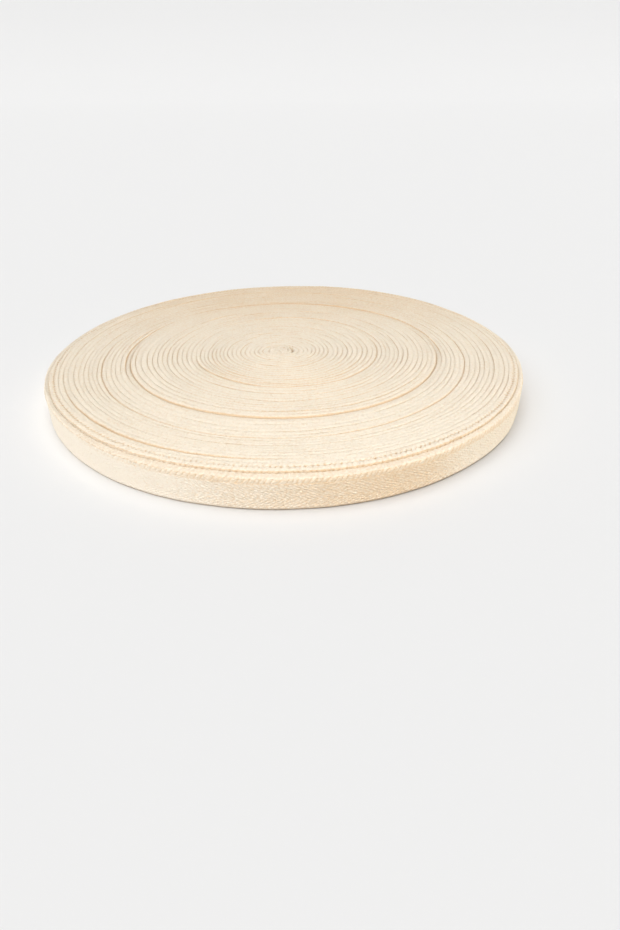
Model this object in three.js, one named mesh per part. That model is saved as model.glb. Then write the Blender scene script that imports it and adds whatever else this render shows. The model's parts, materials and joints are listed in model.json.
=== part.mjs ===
// Roll of cotton herringbone tape: one length of tape wound flat on itself, lying on its side.
// The solid is the wound form with its main creases. X points right, Y away and Z up.
import * as THREE from 'three';

// Driving dimensions, in millimetres and degrees
const tapeWidth = 10; // the roll is as high as its tape is wide
const turnPitch = 1.5; // one layer of tape, as wound
const edgeRound = 0.6; // rounding of the woven edges at the rim
const lastTurnHeight = 9.4; // the last turn has slipped down a little
const creaseWidth = 1.4; // a crease opens between two neighbouring turns
const gapWidth = 0.8; // the narrower gap behind the last turn
const gapDepth = 0.9;
const bandCrown = 0.1; // the turns between two creases bulge up by this much
const heartHeight = 9.5; // the folded start of the tape, at the middle
const endAngle = 80; // where the tape's cut outer end lies, seen from above
const endSlant = 0.4; // the cut end leans by this angle
const fadeAngle = 25; // a crease closes over this angle at each of its ends
const columns = 72; // steps round the roll

// Distances from the heart of the spiral, towards the four sides. The heart lies off centre.
const outline = { right: 78.6, far: 79.1, left: 81.4, near: 80.9 };

// The main creases, from the heart outwards: where each one runs, how deep it is, between which
// angles it is open, and how high the band of turns outside it stands.
const creases = [
  { right: 2.6, far: 1.6, left: 2.8, near: 1.8, depth: 1.0, start: -70, stop: 110, band: 9.7 },
  { right: 12.4, far: 12.8, left: 12.4, near: 12.6, depth: 0.3, start: 150, stop: 330, band: 9.8 },
  { right: 20.6, far: 21.4, left: 20.4, near: 20.0, depth: 0.4, start: -60, stop: 60, band: 9.7 },
  { right: 25.4, far: 26.0, left: 27.6, near: 26.8, depth: 0.7, start: 165, stop: 360, band: 9.8 },
  { right: 31.0, far: 32.0, left: 33.2, near: 31.6, depth: 0.8, start: 0, stop: 360, band: 9.8 },
  { right: 38.6, far: 39.8, left: 41.6, near: 39.6, depth: 0.5, start: 150, stop: 410, band: 9.7 },
  { right: 44.6, far: 45.0, left: 47.6, near: 44.4, depth: 0.4, start: 160, stop: 290, band: 9.9 },
  { right: 50.2, far: 50.1, left: 54.4, near: 49.2, depth: 0.9, start: 0, stop: 360, band: 9.6 },
  { right: 58.2, far: 57.6, left: 62.3, near: 60.6, depth: 0.6, start: 155, stop: 405, band: 9.7 },
  { right: 65.8, far: 65.2, left: 68.8, near: 66.6, depth: 0.4, start: 270, stop: 420, band: 9.7 },
  { right: 72.6, far: 72.4, left: 75.6, near: 71.9, depth: 1.0, start: 190, stop: 285, band: 9.8 },
];

const degrees = Math.PI / 180;

// A smooth closed curve through its distances towards the four sides.
function distance(sides, angle) {
  const mean = (sides.right + sides.far + sides.left + sides.near) / 4;
  const sideways = (sides.right - sides.left) / 2;
  const lengthways = (sides.far - sides.near) / 2;
  const oval = (sides.right + sides.left - sides.far - sides.near) / 4;
  return mean + sideways * Math.cos(angle) + lengthways * Math.sin(angle)
    + oval * Math.cos(2 * angle);
}

// How far open a crease is at an angle: 1 between its ends, easing to 0 past them.
function openness(crease, angle) {
  const span = crease.stop - crease.start;
  if (span >= 360) return 1;
  const past = ((angle / degrees - crease.start) % 360 + 360) % 360;
  const inside = Math.min(past, span - past);
  return THREE.MathUtils.smoothstep(inside, 0, fadeAngle);
}

// The roll's outline at one column. The tape is wound outwards, so its radius grows by one
// turn all the way round, and drops back at the tape's cut end.
function rim(column, angle) {
  return distance(outline, angle) + turnPitch * (column / columns - 0.5);
}

// One section through the roll, from the middle of the top to the middle of the underside.
function section(column, angle) {
  const points = [];
  let height = heartHeight;
  creases.forEach((crease, index) => {
    const middle = distance(crease, angle);
    const next = creases[index + 1];
    const end = next ? distance(next, angle) : rim(column, angle) - turnPitch;
    const half = Math.min(creaseWidth, middle) / 2;
    const bottom = Math.min(height, crease.band) - crease.depth * openness(crease, angle);
    points.push([middle - half, height]);
    points.push([middle, bottom]);
    points.push([middle + half, crease.band]);
    points.push([(middle + end) / 2, crease.band + bandCrown]);
    height = crease.band;
  });
  const edge = rim(column, angle);
  const gap = edge - turnPitch;
  const corner = edgeRound * (1 - Math.SQRT1_2);
  points.push([gap - gapWidth / 2, height]);
  points.push([gap, lastTurnHeight - gapDepth]);
  points.push([gap + gapWidth / 2, lastTurnHeight]);
  points.push([edge - edgeRound, lastTurnHeight]);
  points.push([edge - corner, lastTurnHeight - corner]);
  points.push([edge, lastTurnHeight - edgeRound]);
  points.push([edge, edgeRound]);
  points.push([edge - corner, corner]);
  points.push([edge - edgeRound, 0]);
  return points;
}

// The closed skin of the roll: its sections joined all round, with a fan at each pole.
function woundForm() {
  const positions = [0, 0, heartHeight, 0, 0, 0];
  const triangles = [];
  const topPole = 0;
  const bottomPole = 1;
  let rows = 0;
  for (let column = 0; column <= columns; column += 1) {
    const turned = endSlant / 2 + column * (360 - endSlant) / columns;
    const angle = (endAngle + turned) * degrees;
    const points = section(column, angle);
    rows = points.length;
    points.forEach(([radius, height]) => {
      positions.push(radius * Math.cos(angle), radius * Math.sin(angle), height);
    });
  }
  const vertex = (column, row) => 2 + (column % (columns + 1)) * rows + row;
  for (let column = 0; column <= columns; column += 1) {
    triangles.push(topPole, vertex(column, 0), vertex(column + 1, 0));
    for (let row = 0; row < rows - 1; row += 1) {
      const near = vertex(column, row);
      const nearOut = vertex(column, row + 1);
      const far = vertex(column + 1, row);
      const farOut = vertex(column + 1, row + 1);
      triangles.push(near, nearOut, farOut, near, farOut, far);
    }
    triangles.push(bottomPole, vertex(column + 1, rows - 1), vertex(column, rows - 1));
  }
  const geometry = new THREE.BufferGeometry();
  geometry.setAttribute('position', new THREE.Float32BufferAttribute(positions, 3));
  geometry.setIndex(triangles);
  geometry.computeVertexNormals();
  return geometry;
}

const cotton = new THREE.MeshStandardMaterial({
  color: 0xf6e8d0,
  roughness: 0.95,
  metalness: 0,
});

// The tape itself, centred over the spot that it rests on
const geometry = woundForm();
geometry.computeBoundingBox();
const middle = geometry.boundingBox.getCenter(new THREE.Vector3());
geometry.translate(-middle.x, -middle.y, 0);
const tapeRoll = new THREE.Mesh(geometry, cotton);
tapeRoll.name = 'tape_roll';

const group = new THREE.Group();
group.add(tapeRoll);
export default group;
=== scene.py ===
import json
import math

import bpy
from mathutils import Matrix, Vector

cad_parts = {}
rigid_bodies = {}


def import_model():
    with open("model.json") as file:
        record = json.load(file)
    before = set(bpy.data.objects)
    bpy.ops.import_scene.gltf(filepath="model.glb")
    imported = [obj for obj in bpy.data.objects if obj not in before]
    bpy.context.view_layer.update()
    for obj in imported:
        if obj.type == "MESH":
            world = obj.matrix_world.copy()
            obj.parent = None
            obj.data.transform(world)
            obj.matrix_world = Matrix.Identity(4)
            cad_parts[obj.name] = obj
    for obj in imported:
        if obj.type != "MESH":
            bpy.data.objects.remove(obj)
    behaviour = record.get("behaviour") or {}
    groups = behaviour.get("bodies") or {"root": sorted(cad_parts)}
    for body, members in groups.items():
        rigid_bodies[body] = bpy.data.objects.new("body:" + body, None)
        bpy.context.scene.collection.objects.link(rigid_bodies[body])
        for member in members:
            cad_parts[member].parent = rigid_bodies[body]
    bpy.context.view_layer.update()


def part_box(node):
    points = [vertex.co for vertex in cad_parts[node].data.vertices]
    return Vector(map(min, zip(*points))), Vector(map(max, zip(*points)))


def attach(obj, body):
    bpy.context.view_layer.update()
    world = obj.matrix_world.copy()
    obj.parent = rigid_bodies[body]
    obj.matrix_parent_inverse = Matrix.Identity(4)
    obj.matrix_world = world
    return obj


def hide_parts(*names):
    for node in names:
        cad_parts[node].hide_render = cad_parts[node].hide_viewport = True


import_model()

# The wound tape. One length of thick undyed cotton tape is wound on itself into a flat spiral,
# and what shows on top is the woven edge of each turn, with the weft's small loops along it.
# The turns press on each other, so neighbours share a boundary, and part here and there in a crease.
low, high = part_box("tape_roll")
ROLL_RADIUS = (high.x - low.x) / 2
TAPE_WIDTH = high.z - low.z
TURNS = 51
TURN_PITCH = ROLL_RADIUS / TURNS  # one layer of tape
HEART = (-0.0015, 0.0004)  # the spiral's middle, from the middle of the roll
END_ANGLE = math.radians(80)  # where the tape's outer end lies
LOOP_PITCH = 0.0015  # the weft turns back once in this length of edge
LOOP_HEIGHT = 0.00005  # how far a loop stands up
RIPPLE = 0.00035  # how far one turn wanders from its neighbours
WANDER = 0.0008  # how far a whole band of turns wanders
CLEARANCE = 0.00001  # what stays between two turns that touch
EDGE_CROWN = 0.00003  # a turn's upper edge bulges by this much
TOP_ROOM = 0.00048  # from the level of the lowest turns to the tape's full width
TOP_WANDER = 0.0005  # how unevenly the turns stand on top
BASE_WANDER = 0.00012  # the same, on the underside
FOOT_ROUND = 0.0002  # how far a turn's lower edge is rounded
LAST_TURN_SLIP = 0.00045  # the last turn lies this much lower
UNWOVEN = 0.0013  # what the herringbone leaves free of the last turn's height
LIP_FROM = 0.86  # the rounded selvedge starts this far up the last turn's face
LIP_BULGE = 0.00009  # how far the selvedge stands out
FOOT_UP_TO = 0.12  # the lower selvedge ends this far up
FOOT_BULGE = 0.00006
TWILL_RISE = 0.00078  # from one twill line to the next, across the tape
TWILL_RUN = 0.00165  # the same, along the tape
TWILL_TURNS_BACK = 0.0028  # the twill lines lean the other way below this height
TIGHT_CORNER = (0.00004, 0.00005)  # how far a woven edge is rounded, across and downwards
OPEN_CORNER = (0.00030, 0.00030)  # the same, where its neighbour has moved off a little
FREE_CORNER = (0.00034, 0.00042)  # the same, on the roll's outside

# Distances of a few turns from the heart, towards the right, the far side, the left and the near
# side, and how far the turns there stand above the lowest ones.
RINGS = [
    {"right": 0.0034, "far": 0.0042, "left": 0.0032, "near": 0.0028, "level": 0.0000},
    {"right": 0.0062, "far": 0.0048, "left": 0.0063, "near": 0.0043, "level": 0.0001},
    {"right": 0.0097, "far": 0.0083, "left": 0.0096, "near": 0.0080, "level": 0.0002},
    {"right": 0.0131, "far": 0.0122, "left": 0.0134, "near": 0.0118, "level": 0.0002},
    {"right": 0.0195, "far": 0.0187, "left": 0.0195, "near": 0.0183, "level": 0.0002},
    {"right": 0.0273, "far": 0.0266, "left": 0.0257, "near": 0.0260, "level": 0.0003},
    {"right": 0.0335, "far": 0.0329, "left": 0.0307, "near": 0.0297, "level": 0.0002},
    {"right": 0.0411, "far": 0.0407, "left": 0.0391, "near": 0.0387, "level": 0.0003},
    {"right": 0.0471, "far": 0.0459, "left": 0.0451, "near": 0.0435, "level": 0.0004},
    {"right": 0.0527, "far": 0.0510, "left": 0.0519, "near": 0.0483, "level": 0.0001},
    {"right": 0.0607, "far": 0.0585, "left": 0.0598, "near": 0.0597, "level": 0.0002},
    {"right": 0.0683, "far": 0.0661, "left": 0.0663, "near": 0.0657, "level": 0.0002},
    {"right": 0.0751, "far": 0.0733, "left": 0.0731, "near": 0.0710, "level": 0.0003},
    {"right": 0.0811, "far": 0.0800, "left": 0.0789, "near": 0.0800, "level": 0.0003},
]
RING_SWING = 0.010  # the curves below hold offsets of up to half of this

# The creases: how far from the heart each one starts, at which angles it starts and stops, and how
# far it opens, where 1 is a turn that has moved off a little. The heart's own crease gapes deeper.
CREASES = [
    {"from_heart": 0.0030, "start": -50, "stop": 70, "opens": 2.4, "gapes": 0.0030},
    {"from_heart": 0.0063, "start": 150, "stop": 215, "opens": 1.0},
    {"from_heart": 0.0136, "start": 165, "stop": 240, "opens": 0.7},
    {"from_heart": 0.0160, "start": -60, "stop": 60, "opens": 0.9},
    {"from_heart": 0.0162, "start": 180, "stop": 260, "opens": 0.6},
    {"from_heart": 0.0215, "start": -70, "stop": 60, "opens": 0.7},
    {"from_heart": 0.0227, "start": 170, "stop": 230, "opens": 0.8},
    {"from_heart": 0.0243, "start": 175, "stop": 340, "opens": 1.6},
    {"from_heart": 0.0258, "start": 170, "stop": 250, "opens": 0.8},
    {"from_heart": 0.0268, "start": -60, "stop": 50, "opens": 1.0},
    {"from_heart": 0.0293, "start": -20, "stop": 60, "opens": 0.9},
    {"from_heart": 0.0307, "start": 180, "stop": 500, "opens": 1.5, "sinks": 0.0002},
    {"from_heart": 0.0391, "start": 150, "stop": 410, "opens": 0.8},
    {"from_heart": 0.0419, "start": 236, "stop": 276, "opens": 0.7},
    {"from_heart": 0.0429, "start": 276, "stop": 312, "opens": 0.7},
    {"from_heart": 0.0451, "start": 160, "stop": 290, "opens": 0.7},
    {"from_heart": 0.0469, "start": 180, "stop": 240, "opens": 0.6},
    {"from_heart": 0.0519, "start": 140, "stop": 500, "opens": 1.9, "sinks": 0.0004},
    {"from_heart": 0.0537, "start": 140, "stop": 330, "opens": 0.9},
    {"from_heart": 0.0525, "start": 250, "stop": 300, "opens": 0.6},
    {"from_heart": 0.0598, "start": 155, "stop": 405, "opens": 1.6},
    {"from_heart": 0.0625, "start": 170, "stop": 230, "opens": 0.6},
    {"from_heart": 0.0657, "start": 270, "stop": 420, "opens": 0.6},
    {"from_heart": 0.0711, "start": -40, "stop": 40, "opens": 0.7},
    {"from_heart": 0.0731, "start": -60, "stop": 30, "opens": 0.6},
    {"from_heart": 0.0734, "start": 196, "stop": 284, "opens": 2.1, "sinks": 0.0002},
]
FADE_TURNS = 0.07  # a crease closes over this part of a turn at each of its ends


class Field:
    """A socket of a node tree. Arithmetic on it adds Math nodes, and node() adds any other node."""

    def __init__(self, tree, socket=None):
        self.tree, self.socket = tree, socket

    def node(self, kind, settings=None, inputs=None, output=0):
        made = self.tree.nodes.new(kind)
        for name, value in (settings or {}).items():
            if name == "points":
                curve = made.mapping.curves[0].points
                for index, (x, y) in enumerate(value):
                    if index < 2:
                        curve[index].location = (x, y)
                    else:
                        curve.new(x, y)
                made.mapping.update()
            else:
                setattr(made, name, value)
        for name, value in (inputs or {}).items():
            if isinstance(value, Field):
                self.tree.links.new(value.socket, made.inputs[name])
            else:
                made.inputs[name].default_value = value
        return Field(self.tree, made.outputs[output])

    def maths(self, operation, *values):
        return self.node("ShaderNodeMath", {"operation": operation}, dict(enumerate(values)))

    def __add__(self, other):
        return self.maths("ADD", self, other)

    def __sub__(self, other):
        return self.maths("SUBTRACT", self, other)

    def __rsub__(self, other):
        return self.maths("SUBTRACT", other, self)

    def __mul__(self, other):
        return self.maths("MULTIPLY", self, other)

    def __truediv__(self, other):
        return self.maths("DIVIDE", self, other)

    def __pow__(self, other):
        return self.maths("POWER", self, other)

    def __lt__(self, other):
        return self.maths("LESS_THAN", self, other)

    def __gt__(self, other):
        return self.maths("GREATER_THAN", self, other)

    def __abs__(self):
        return self.maths("ABSOLUTE", self)

    __radd__ = __add__
    __rmul__ = __mul__

    def sine(self):
        return self.maths("SINE", self)

    def cosine(self):
        return self.maths("COSINE", self)

    def clamp(self, low=0.0, high=1.0):
        return self.maths("MINIMUM", self.maths("MAXIMUM", self, low), high)

    def rise(self, start, stop):
        """0 before start, 1 after stop, and a smooth step between."""
        return self.node(
            "ShaderNodeMapRange",
            {"interpolation_type": "SMOOTHSTEP"},
            {"Value": self, "From Min": start, "From Max": stop},
        )

    def mix(self, other, share):
        return self + (other - self) * share

    def vector(self, x, y, z):
        return self.node("ShaderNodeCombineXYZ", inputs={"X": x, "Y": y, "Z": z})

    def noise(self, place, scale=1.0, detail=0.0):
        """Smooth noise around 0, mostly within a quarter either way."""
        made = self.node(
            "ShaderNodeTexNoise", inputs={"Vector": place, "Scale": scale, "Detail": detail}
        )
        return made - 0.5


def parts_of(ring):
    """A ring's mean radius, its shift to the right and to the far side, and its oval share."""
    right, far, left, near = (ring[side] for side in ("right", "far", "left", "near"))
    mean = (right + far + left + near) / 4
    return mean, (right - left) / 2, (far - near) / 2, (right + left - far - near) / 4


def ring_curve(which):
    """The points of a curve over the turns, for one of the ring's three offsets."""
    points = [(parts_of(r)[0] / ROLL_RADIUS, 0.5 + parts_of(r)[which] / RING_SWING) for r in RINGS]
    return [(0.0, points[0][1])] + points


def distance_at(turn, angle):
    """How far a turn lies from the heart at an angle, between the rings of the table."""
    rings = [parts_of(r) for r in RINGS]
    mean = turn * TURN_PITCH
    above = next((i for i, r in enumerate(rings) if r[0] > mean), len(rings) - 1)
    before, after = rings[max(above - 1, 0)], rings[above]
    span = after[0] - before[0]
    share = min(max((mean - before[0]) / span, 0), 1) if span else 0
    _, right, far, oval = (a + (b - a) * share for a, b in zip(before, after))
    return mean + right * math.cos(angle) + far * math.sin(angle) + oval * math.cos(2 * angle)


def crease_turn(crease):
    """The count of turns at which a crease starts: between two turns, at the crease's angle."""
    angle = math.radians(crease["start"])
    part = (angle - END_ANGLE) / math.tau + TURNS + 0.5
    choices = [part % 1 + whole for whole in range(TURNS + 1)]
    return min(choices, key=lambda turn: abs(distance_at(turn, angle) - crease["from_heart"]))


def tape_nodes(name):
    """The node tree that lays a stretch of the tape: a grid, put along the spiral and round the
    tape's section. With a path as its geometry, it lays the tape along the path instead."""
    tree = bpy.data.node_groups.new(name, "GeometryNodeTree")
    for label, kind in (
        ("Path", "NodeSocketGeometry"),
        ("On Path", "NodeSocketBool"),
        ("First Length", "NodeSocketFloat"),
        ("Last Length", "NodeSocketFloat"),
        ("Steps", "NodeSocketInt"),
        ("Edge Rows", "NodeSocketInt"),
        ("Base Rows", "NodeSocketInt"),
        ("Face Rows", "NodeSocketInt"),
        ("Loop Height", "NodeSocketFloat"),
        ("Weave Depth", "NodeSocketFloat"),
        ("Material", "NodeSocketMaterial"),
    ):
        tree.interface.new_socket(label, in_out="INPUT", socket_type=kind)
    tree.interface.new_socket("Geometry", in_out="OUTPUT", socket_type="NodeSocketGeometry")
    group = tree.nodes.new("NodeGroupInput")
    given = {s.name: Field(tree, s) for s in group.outputs if s.name}
    put = Field(tree)
    steps, edge_rows = given["Steps"], given["Edge Rows"]
    base_rows, face_rows = given["Base Rows"], given["Face Rows"]
    rows = edge_rows + base_rows + face_rows + 1

    grid = put.node(
        "GeometryNodeMeshGrid",
        inputs={"Size X": steps, "Size Y": rows, "Vertices X": steps + 1, "Vertices Y": rows + 1},
    )
    place = put.node("GeometryNodeInputPosition")
    apart = tree.nodes.new("ShaderNodeSeparateXYZ")
    tree.links.new(place.socket, apart.inputs[0])
    column = put.maths("ROUND", Field(tree, apart.outputs["X"]) + steps / 2)
    row = put.maths("ROUND", Field(tree, apart.outputs["Y"]) + rows / 2)

    # Along the tape: its length, the count of turns and the angle round the roll
    along = ((column - 1) / (steps - 2)).clamp()
    length = given["First Length"].mix(given["Last Length"], along)
    turn = (length / (math.pi * TURN_PITCH)) ** 0.5
    angle = (turn - TURNS) * math.tau + END_ANGLE
    cosine, sine, double = angle.cosine(), angle.sine(), (angle * 2).cosine()
    body = (column > 0.5) * (column < steps - 0.5)

    # Round the section: over the top edge from outside to inside, down the inner side, back
    # under the lower edge, and up the outer face
    on_top = row < edge_rows + 0.5
    on_face = row > edge_rows + base_rows + 1.5
    over = 1 - row / edge_rows * 2
    under = (row - edge_rows - 1) / base_rows * 2 - 1
    up_face = ((row - edge_rows - base_rows - 1) / face_rows).clamp()
    across = (under.mix(over, on_top)).mix(1.0, on_face)
    side = put.maths("SIGN", across)
    corner = ((1 - abs(across)) * 1.5).clamp() * (math.pi / 2) * (1 - on_face)
    outward, upward = corner.cosine(), corner.sine()
    flat = (abs(across) * 3).clamp()

    def ring_at(count):
        """The distance from the heart, with the tape's small wanderings."""
        offsets = [
            put.node("ShaderNodeFloatCurve", {"points": ring_curve(i)}, {"Value": count / TURNS})
            for i in (1, 2, 3)
        ]
        right, far, oval = ((offset - 0.5) * RING_SWING for offset in offsets)
        near_place = put.vector(cosine * count * 0.16, sine * count * 0.16, count * 0.9)
        wide_place = put.vector(cosine * 1.6, sine * 1.6, count * 0.16)
        ripple = put.noise(near_place) * RIPPLE + put.noise(wide_place) * WANDER
        round_way = right * cosine + far * sine + oval * double
        return count * TURN_PITCH + round_way + ripple * (count / 8).clamp()

    # How open the boundary on this side is: more towards the right and left, and more round the
    # heart on its near side
    border = turn + side * 0.5
    looser_place = put.vector(cosine * border * 0.09, sine * border * 0.09, border * 1.3)
    sideways = put.maths("MAXIMUM", abs(cosine).rise(0.25, 0.85), cosine.rise(0.0, 0.7))
    near_heart = (1 - border.rise(18.0, 36.0)) * (0.40 - sine * 0.90)
    looser = put.noise(looser_place, detail=1.0) * (1 + sideways * 1.7)
    opened = (looser + sideways * 0.34 + near_heart - 0.2).clamp(0.0, 1.0)
    gape = 0.0
    for crease in CREASES:
        first = crease_turn(crease)
        last = first + (crease["stop"] - crease["start"]) / 360
        window = border.rise(first, first + FADE_TURNS) * (1 - border.rise(last - FADE_TURNS, last))
        opened = put.maths("MAXIMUM", opened, window * crease["opens"])
        if "gapes" in crease:
            gape = gape + window * crease["gapes"]

    # The two boundaries behind the last turn are open all round, and the inner one of them shows
    # as a row of small holes. The last turn's outer side has no neighbour
    ropy = border.rise(TURNS - 2.6, TURNS - 2.5)
    behind_last = border.rise(TURNS - 1.6, TURNS - 1.5)
    holes = ropy * (1 - behind_last)
    opened = put.maths("MAXIMUM", opened, ropy * 0.7 + behind_last * 0.3)
    bared = border > TURNS - 0.5
    inset, drop = (
        (opened * (loose - tight) + tight).mix(free, bared)
        for tight, loose, free in zip(TIGHT_CORNER, OPEN_CORNER, FREE_CORNER)
    )

    # How high each turn stands. The curve holds millimetres
    levels = [(0.0, 0.0)] + [(parts_of(r)[0] / ROLL_RADIUS, r["level"] * 1000) for r in RINGS]
    level = put.node("ShaderNodeFloatCurve", {"points": levels}, {"Value": turn / TURNS}) * 0.001
    tall_place = put.vector(cosine * 2.2, sine * 2.2, turn * 0.7)
    slip = turn.rise(TURNS - 1.04, TURNS - 0.9) * LAST_TURN_SLIP
    for crease in CREASES:
        if "sinks" in crease:
            first = crease_turn(crease) + 0.5
            last = first + (crease["stop"] - crease["start"]) / 360
            sunken = turn.rise(first, first + 0.1) * (1 - turn.rise(last - 0.1, last))
            slip = slip + sunken * crease["sinks"]
    top = level + put.noise(tall_place) * TOP_WANDER - slip + (TAPE_WIDTH - TOP_ROOM)
    low_place = put.vector(cosine * 2.0, sine * 2.0, turn * 1.3 + 9)
    base = put.noise(low_place).clamp() * BASE_WANDER

    # The weft's loops, which lean along the edge. They are heavier on the outermost turns, where
    # they notch the boundary as well
    girth = across.mix(1 + (1 - up_face) * (TAPE_WIDTH / TURN_PITCH * 2), on_face)
    wobble = put.noise(put.vector(length * 330, turn * 3.1, 0.0)) * 3.2
    beat = (length / LOOP_PITCH + girth * 0.3) * math.pi + wobble
    heavier = 1 + ropy * 4.0
    uneven = 1 + put.noise(put.vector(length * 900, turn * 7.7, across * 0.7)) * 2.0
    notched = 1 + holes * (1 - abs(beat.sine())) * 2.6
    inset, drop = inset * notched, drop * notched + gape
    loop = (abs(beat.sine()) - 0.6) * given["Loop Height"] * heavier * uneven
    lip_loops = up_face.rise(LIP_FROM, 0.95)
    raised = loop * put.maths("MAXIMUM", on_top, lip_loops * on_face)

    # The herringbone on the outer face: twill lines that lean one way, then the other, each line
    # broken into the floats of its ends. The weave is nearly plain at the left of the rim, and in
    # the colour the same mask paints that side paler, as painted light
    climb = up_face * (TAPE_WIDTH - UNWOVEN)
    drift = put.noise(put.vector(length * 420, climb * 700, 2.0), detail=1.0) * 1.1
    askew = put.noise(put.vector(length * 1000, climb * 1000, 5.0))
    plain = cosine.rise(-0.85, 0.0) * 0.85 + 0.15
    twill = abs(climb - TWILL_TURNS_BACK) / TWILL_RISE + length / TWILL_RUN + drift
    ridge = abs((twill * math.pi).sine())
    ridge_number = put.maths("FLOOR", twill)
    float_place = (length / TWILL_RUN * 1.5 + ridge_number * 0.5 + drift + askew) * math.pi
    relief = ridge * (0.2 + abs(float_place.sine()) * 0.8)
    lip = up_face.rise(LIP_FROM - 0.01, LIP_FROM + 0.01)
    inside = up_face.rise(0.03, 0.07) * (1 - lip)
    woven = relief * inside * given["Weave Depth"] * plain
    foot_bulge = ((up_face / FOOT_UP_TO).clamp() * math.pi).sine() * FOOT_BULGE
    up_lip = ((up_face - LIP_FROM) / (1 - LIP_FROM)).clamp()
    lip_bulge = (up_lip * math.pi).sine() * LIP_BULGE * plain
    proud = (woven + (foot_bulge + lip_bulge) * (given["Weave Depth"] > 0)) * on_face

    # From the middle of the turn to this point of its section
    middle = ring_at(turn)
    edge_line = ring_at(border) - side * (inset * (1 - outward) + CLEARANCE)
    offset = (edge_line - middle) * flat * body + raised * outward * side + proud * body
    radial = middle + offset
    top_line = top - drop * (1 - upward) - flat * EDGE_CROWN
    base_line = base + FOOT_ROUND * (1 - upward)
    face_line = (base + FOOT_ROUND).mix(top - drop, up_face)
    section_height = base_line.mix(top_line, on_top).mix(face_line, on_face)
    lifted = loop * upward * on_top * 0.5
    height = (section_height + lifted - TAPE_WIDTH / 2) * body + TAPE_WIDTH / 2

    # Where it lies, on the spiral or beside the path
    wound = put.vector(radial * cosine + HEART[0], radial * sine + HEART[1], height)
    line = put.node("GeometryNodeMeshToCurve", inputs={"Mesh": given["Path"]})
    bend = put.node("GeometryNodeCurveSplineType", {"spline_type": "CATMULL_ROM"}, {"Curve": line})
    sample = tree.nodes.new("GeometryNodeSampleCurve")
    sample.mode = "FACTOR"
    sample.use_all_curves = True
    tree.links.new(bend.socket, sample.inputs["Curves"])
    tree.links.new(along.socket, sample.inputs["Factor"])
    spot, heading = Field(tree, sample.outputs["Position"]), Field(tree, sample.outputs["Tangent"])
    beside = put.node(
        "ShaderNodeVectorMath",
        {"operation": "CROSS_PRODUCT"},
        {0: heading, 1: (0.0, 0.0, 1.0)},
    )
    off_line = put.node("ShaderNodeVectorMath", {"operation": "SCALE"}, {0: beside, "Scale": offset})
    level_up = put.node(
        "ShaderNodeVectorMath", {"operation": "ADD"}, {0: off_line, 1: put.vector(0.0, 0.0, height)}
    )
    folded = put.node("ShaderNodeVectorMath", {"operation": "ADD"}, {0: spot, 1: level_up})
    laid = put.node(
        "GeometryNodeSwitch",
        {"input_type": "VECTOR"},
        {"Switch": given["On Path"], "False": wound, "True": folded},
    )

    # Painted shade, for the colour: tan down between the turns, between the weft's loops, in the row
    # of holes, under the tape and in the valleys of the weave. The lines between turns are painted
    # darker where they face the near side, and so is the last turn. The rim is painted tan in shade
    # from its near left to its near right, below the selvedge more than on it
    rope = ropy * (turn < TURNS - 1) * 0.5
    groove = (0.5 - abs(beat.sine())).clamp() * (0.1 + rope + (1 - upward) * heavier * 0.5)
    facing = (0 - sine).rise(0.3, 0.9)
    tint = (opened * 0.35 + 0.55 + opened * facing * 0.6).mix(2.0 - abs(beat.sine()) * 1.7, holes)
    sunk = (1 - upward) * tint.mix(0.4, bared) + groove * (1 - bared * 0.4)
    sunk = sunk + (turn > TURNS - 1) * facing * 0.2
    # A painted shadow in a thin line just under the selvedge
    lip_line = up_face.rise(0.825, 0.85) * (1 - up_face.rise(LIP_FROM, 0.875))
    # Painted shade on the rim's face: tan from its near left to its near right, below the selvedge
    painted_rim_shade = cosine.rise(-0.45, 0.38) * (1 - cosine.rise(0.46, 0.70)) * (sine < 0) * 0.60
    on_lip = groove * lip * 0.6 + lip_line * 0.3
    # Painted shade in the valleys of the weave and between the lip's loops; at the left, where the
    # weave is plain, the rim is painted paler, as painted light
    on_cloth = ((0.55 - relief) * 0.36 * inside + on_lip) * plain + (plain - 1) * 0.2
    on_cloth = on_cloth + painted_rim_shade.mix((0.15 + facing * 0.3) * plain, lip)
    # All of this point's painted shade, which the material turns into colour
    depth = (1 - on_top).mix(sunk, on_top).mix(on_cloth, on_face)
    girth_length = girth * (TURN_PITCH / 2)

    mapped = put.node(
        "GeometryNodeStoreNamedAttribute",
        {"data_type": "FLOAT2", "domain": "CORNER"},
        {"Geometry": grid, "Name": "tape_map", "Value": put.vector(length, girth_length, 0.0)},
    )
    marked = put.node(
        "GeometryNodeStoreNamedAttribute",
        {"data_type": "FLOAT", "domain": "POINT"},
        {"Geometry": mapped, "Name": "depth", "Value": depth},
    )
    shaped = put.node("GeometryNodeSetPosition", inputs={"Geometry": marked, "Position": laid})
    closed = put.node(
        "GeometryNodeMergeByDistance", inputs={"Geometry": shaped, "Distance": 0.000001}
    )
    turned = put.node("GeometryNodeFlipFaces", inputs={"Mesh": closed})
    smooth = put.node("GeometryNodeSetShadeSmooth", inputs={"Geometry": turned})
    edge_angle = put.node("GeometryNodeInputMeshEdgeAngle")
    crisp = put.node(
        "GeometryNodeSetShadeSmooth",
        {"domain": "EDGE"},
        {"Geometry": smooth, "Selection": edge_angle > math.radians(75), "Shade Smooth": False},
    )
    real = put.node("GeometryNodeRealizeInstances", inputs={"Geometry": crisp})
    dressed = put.node(
        "GeometryNodeSetMaterial", inputs={"Geometry": real, "Material": given["Material"]}
    )
    output = tree.nodes.new("NodeGroupOutput")
    tree.links.new(dressed.socket, output.inputs[0])
    return tree


COTTON = (0.82, 0.74, 0.625)
COTTON_DEEP = (0.72, 0.54, 0.355)  # painted shade, between the turns and to the far side
FIBRES = 1500.0  # fine fibres, patches and threads are counted by the metre
PATCHES = 70.0
THREADS = (1500, 3000, 0)  # along the tape and across it


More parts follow.
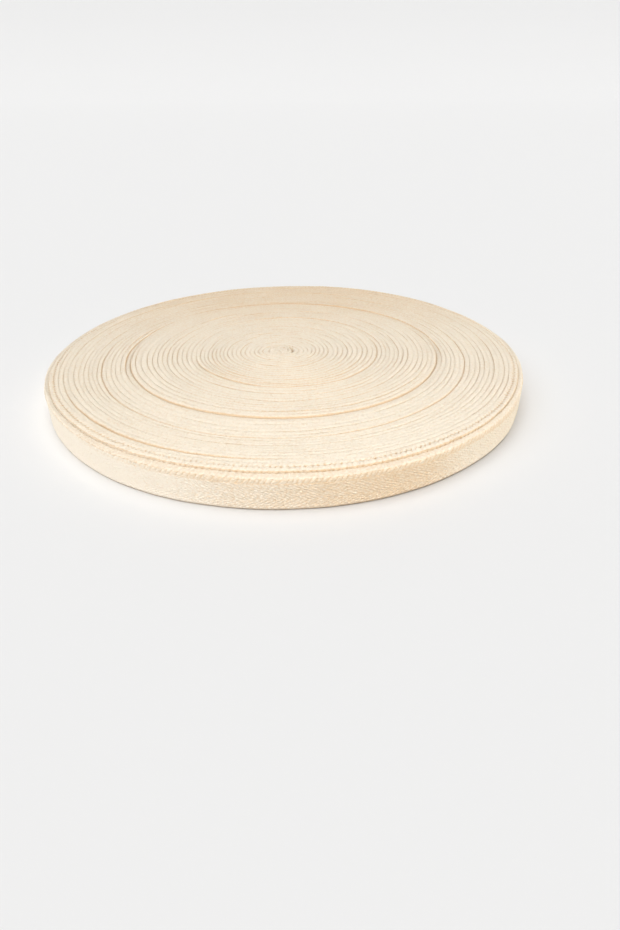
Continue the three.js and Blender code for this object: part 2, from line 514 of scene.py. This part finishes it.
def cotton(name):
    """Undyed cotton: a warm cream, with painted shade in tan down between the turns and towards
    the far side, and fine fibre. The threads follow the tape's own map."""
    material = bpy.data.materials.new(name)
    material.use_nodes = True
    tree = material.node_tree
    shader = tree.nodes["Principled BSDF"]
    put = Field(tree)
    place = put.node("ShaderNodeTexCoord", output="Object")
    # The painted shade that the tape's mesh carries
    depth = put.node("ShaderNodeAttribute", {"attribute_name": "depth"}, output="Fac")
    fine = put.noise(place, scale=FIBRES, detail=2.0)
    broad = put.noise(place, scale=PATCHES, detail=2.0)
    away = put.node("ShaderNodeSeparateXYZ", inputs={"Vector": place}, output="Y")
    # Painted shade: the cloth is painted tanner towards the far side
    painted_far_shade = away.rise(0.0, 0.08) * 0.5
    run = put.node("ShaderNodeUVMap", {"uv_map": "tape_map"})
    run = put.node("ShaderNodeVectorMath", {"operation": "MULTIPLY"}, {0: run, 1: THREADS})
    threads = (put.noise(run, detail=1.0) * 2.4).clamp(-0.5, 0.5)
    share = (depth + painted_far_shade + broad * 0.25 + fine * 1.3 - threads * 0.25 + 0.04).clamp()
    colour = put.node(
        "ShaderNodeMix",
        {"data_type": "RGBA"},
        {"Factor": share, 6: (*COTTON, 1), 7: (*COTTON_DEEP, 1)},
        output=2,
    )
    tree.links.new(colour.socket, shader.inputs["Base Color"])
    bump = put.node(
        "ShaderNodeBump",
        inputs={"Height": fine * 0.8 + threads, "Strength": 0.8, "Distance": 0.0002},
    )
    tree.links.new(bump.socket, shader.inputs["Normal"])
    shader.inputs["Roughness"].default_value = 0.95
    shader.inputs["Specular IOR Level"].default_value = 0.2
    return material


def lay_tape(tree, name, path=(), **values):
    """Runs the node tree on a new object, and keeps the result as a plain mesh."""
    line = bpy.data.meshes.new(name + "_path")
    line.from_pydata(path, [(i, i + 1) for i in range(len(path) - 1)], [])
    holder = bpy.data.objects.new(name + "_holder", line)
    bpy.context.scene.collection.objects.link(holder)
    modifier = holder.modifiers.new("lay", "NODES")
    modifier.node_group = tree
    values["on_path"] = bool(path)
    for item in tree.interface.items_tree:
        key = item.name.lower().replace(" ", "_")
        if key in values:
            modifier[item.identifier] = values[key]
    graph = bpy.context.evaluated_depsgraph_get()
    mesh = bpy.data.meshes.new_from_object(holder.evaluated_get(graph), depsgraph=graph)
    bpy.data.objects.remove(holder)
    mesh.name = name
    piece = bpy.data.objects.new(name, mesh)
    bpy.context.scene.collection.objects.link(piece)
    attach(piece, "root")
    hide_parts("tape_roll")


def length_at(turn):
    """The length of tape wound when this many turns are on the roll."""
    return math.pi * TURN_PITCH * turn * turn


edge_cotton = cotton("cotton_edge")
tape_tree = tape_nodes("wound tape")
FIRST_TURN = 1.5  # the turns inside this one are the heart's
PLAIN_ROWS = {"edge_rows": 6, "base_rows": 2, "face_rows": 1, "weave_depth": 0.0}

# The heart, where the tape starts. It is folded back on itself once, with no core, and the rest
# is wound round the fold, standing off a little at the right.
FOLD = [
    (-0.00035, 0.00125),
    (-0.00038, 0.00075),
    (-0.00030, 0.00020),
    (0.00005, -0.00030),
    (0.00045, -0.00048),
    (0.00090, -0.00032),
    (0.00120, 0.00020),
    (0.00125, 0.00080),
    (0.00100, 0.00150),
    (0.00040, 0.00200),
    (-0.00045, 0.00215),
    (-0.00130, 0.00180),
    (-0.00185, 0.00100),
    (-0.00200, 0.00010),
    (-0.00175, -0.00075),
]
start_angle = (FIRST_TURN - TURNS) * math.tau + END_ANGLE
heart_path = [Vector((x + HEART[0], y + HEART[1], 0)) for x, y in FOLD]
for back in (0.06, 0.0):
    angle = start_angle - back * math.tau
    radius = distance_at(FIRST_TURN - back, angle)
    point = Vector((radius * math.cos(angle) + HEART[0], radius * math.sin(angle) + HEART[1], 0))
    heart_path.append(point)
HEART_LENGTH = 0.0110
HEART_STEPS = 72
lay_tape(
    tape_tree,
    "tape_heart",
    path=heart_path,
    first_length=length_at(FIRST_TURN) - HEART_LENGTH,
    last_length=length_at(FIRST_TURN),
    steps=HEART_STEPS,
    loop_height=LOOP_HEIGHT,
    material=edge_cotton,
    **PLAIN_ROWS,
)

# The turns round the heart, up to the last but one. Each lies on edge against the one inside it.
# They are four pieces of one tape, so that no mesh grows too large.


def wind(name, first, last, step, **values):
    """Lays the tape between two counts of turns, in whole steps along its length."""
    first_step, last_step = round(length_at(first) / step), round(length_at(last) / step)
    lay_tape(
        tape_tree,
        name,
        first_length=first_step * step,
        last_length=last_step * step,
        steps=last_step - first_step + 2,
        loop_height=LOOP_HEIGHT,
        material=edge_cotton,
        **values,
    )


STEP = LOOP_PITCH / 4
SPANS = [
    ("tape_inner", FIRST_TURN, 25),
    ("tape_middle", 25, 35.3),
    ("tape_outer", 35.3, 43.2),
    ("tape_outermost", 43.2, TURNS - 1),
]
for name, first, last in SPANS:
    wind(name, first, last, STEP, **PLAIN_ROWS)

# The last turn. Its outer face is the one that shows the herringbone weave, under a rounded
# selvedge, and it ends in a plain cut at the back.
FINE_STEP = LOOP_PITCH / 6
WOVEN_ROWS = {"edge_rows": 8, "base_rows": 4, "face_rows": 60, "weave_depth": 0.00027}
wind("tape_last_turn", TURNS - 1, TURNS - 0.5, FINE_STEP, **WOVEN_ROWS)
wind("tape_end", TURNS - 0.5, TURNS, FINE_STEP, **WOVEN_ROWS)

# The studio. A plain pale floor that sweeps up at the back, soft light from the left, the right,
# the near side and above, and the camera, which looks down on the roll as the photograph does.
floor_mesh = bpy.data.meshes.new("floor")
FLOOR_REACH = 12.0
SWEEP_RADIUS = 8.0
SWEEP_STEPS = 12
FLOOR_PAINT = 0.82
SKY_GREY = 0.300
profile = [(-FLOOR_REACH, 0.0)]
for step in range(SWEEP_STEPS + 1):
    turned = math.pi / 2 * step / SWEEP_STEPS
    away = FLOOR_REACH - SWEEP_RADIUS + SWEEP_RADIUS * math.sin(turned)
    profile.append((away, SWEEP_RADIUS - SWEEP_RADIUS * math.cos(turned)))
floor_points = [(x, y, z) for y, z in profile for x in (-2 * FLOOR_REACH, 2 * FLOOR_REACH)]
floor_faces = [(2 * i, 2 * i + 1, 2 * i + 3, 2 * i + 2) for i in range(len(profile) - 1)]
floor_mesh.from_pydata(floor_points, [], floor_faces)
for face in floor_mesh.polygons:
    face.use_smooth = True
floor = bpy.data.objects.new("floor", floor_mesh)
bpy.context.scene.collection.objects.link(floor)
floor_paint = bpy.data.materials.new("pale_floor")
floor_paint.use_nodes = True
floor_shader = floor_paint.node_tree.nodes["Principled BSDF"]
floor_shader.inputs["Base Color"].default_value = (FLOOR_PAINT, FLOOR_PAINT, FLOOR_PAINT, 1)
floor_shader.inputs["Roughness"].default_value = 1.0
floor_shader.inputs["Specular IOR Level"].default_value = 0.0
floor_mesh.materials.append(floor_paint)

world = bpy.data.worlds.new("studio")
world.use_nodes = True
sky = world.node_tree.nodes["Background"]
sky.inputs["Color"].default_value = (SKY_GREY, SKY_GREY, SKY_GREY, 1)
bpy.context.scene.world = world
bpy.context.scene.view_settings.view_transform = "Standard"


def soft_sun(name, towards, strength, spread, colour):
    """A distant soft light, which falls evenly over the floor."""
    data = bpy.data.lights.new(name, "SUN")
    data.energy, data.angle, data.color = strength, math.radians(spread), colour
    light = bpy.data.objects.new(name, data)
    light.rotation_euler = Vector(towards).to_track_quat("Z", "Y").to_euler()
    bpy.context.scene.collection.objects.link(light)
    return light


soft_sun("key", (-0.94, -0.34, 1.05), 0.88, 40, (1.0, 0.99, 0.97))
fill = soft_sun("fill", (0.96, -0.13, 0.24), 2.67, 60, (1.0, 0.94, 0.82))
front = soft_sun("front", (-0.77, -0.61, 0.17), 2.0, 60, (1.0, 1.0, 1.0))
above = soft_sun("above", (-0.05, 0.0, 1.0), 1.69, 50, (1.0, 1.0, 1.0))


def near_light(name, place, aim, width, power, colour):
    """A soft round light close to the roll, brighter on the side that it stands at."""
    data = bpy.data.lights.new(name, "AREA")
    data.shape, data.size, data.energy, data.color = "DISK", width, power, colour
    light = bpy.data.objects.new(name, data)
    light.location = place
    light.rotation_euler = (light.location - Vector(aim)).to_track_quat("Z", "Y").to_euler()
    bpy.context.scene.collection.objects.link(light)
    return light


near_key = near_light("near_key", (0.03, -0.19, 0.24), (0, -0.03, 0), 0.12, 0.31, (1.0, 1.0, 1.0))
roll_only = bpy.data.collections.new("roll_only")
for piece in bpy.data.objects:
    if piece.name.startswith("tape_") and piece.type == "MESH":
        roll_only.objects.link(piece)
floor_only = bpy.data.collections.new("floor_only")
floor_only.objects.link(floor)
for light, receivers in (
    (fill, roll_only),
    (front, roll_only),
    (near_key, roll_only),
    (above, floor_only),
):
    light.light_linking.receiver_collection = receivers

PHOTO_HEIGHT = 930
FOCAL_PIXELS = 590
camera_data = bpy.data.cameras.new("camera")
camera_data.sensor_width = 36.0
camera_data.lens = camera_data.sensor_width * FOCAL_PIXELS / PHOTO_HEIGHT
camera_data.clip_start = 0.01
camera = bpy.data.objects.new("camera", camera_data)
CAMERA_PLACE = (0.00805, -0.19650, 0.08876)
CAMERA_TILT = math.radians(32.887)
CAMERA_ROLL = math.radians(-0.422)
camera.matrix_world = (
    Matrix.Translation(CAMERA_PLACE)
    @ Matrix.Rotation(math.pi / 2 - CAMERA_TILT, 4, "X")
    @ Matrix.Rotation(CAMERA_ROLL, 4, "Z")
)
bpy.context.scene.collection.objects.link(camera)
bpy.context.scene.camera = camera
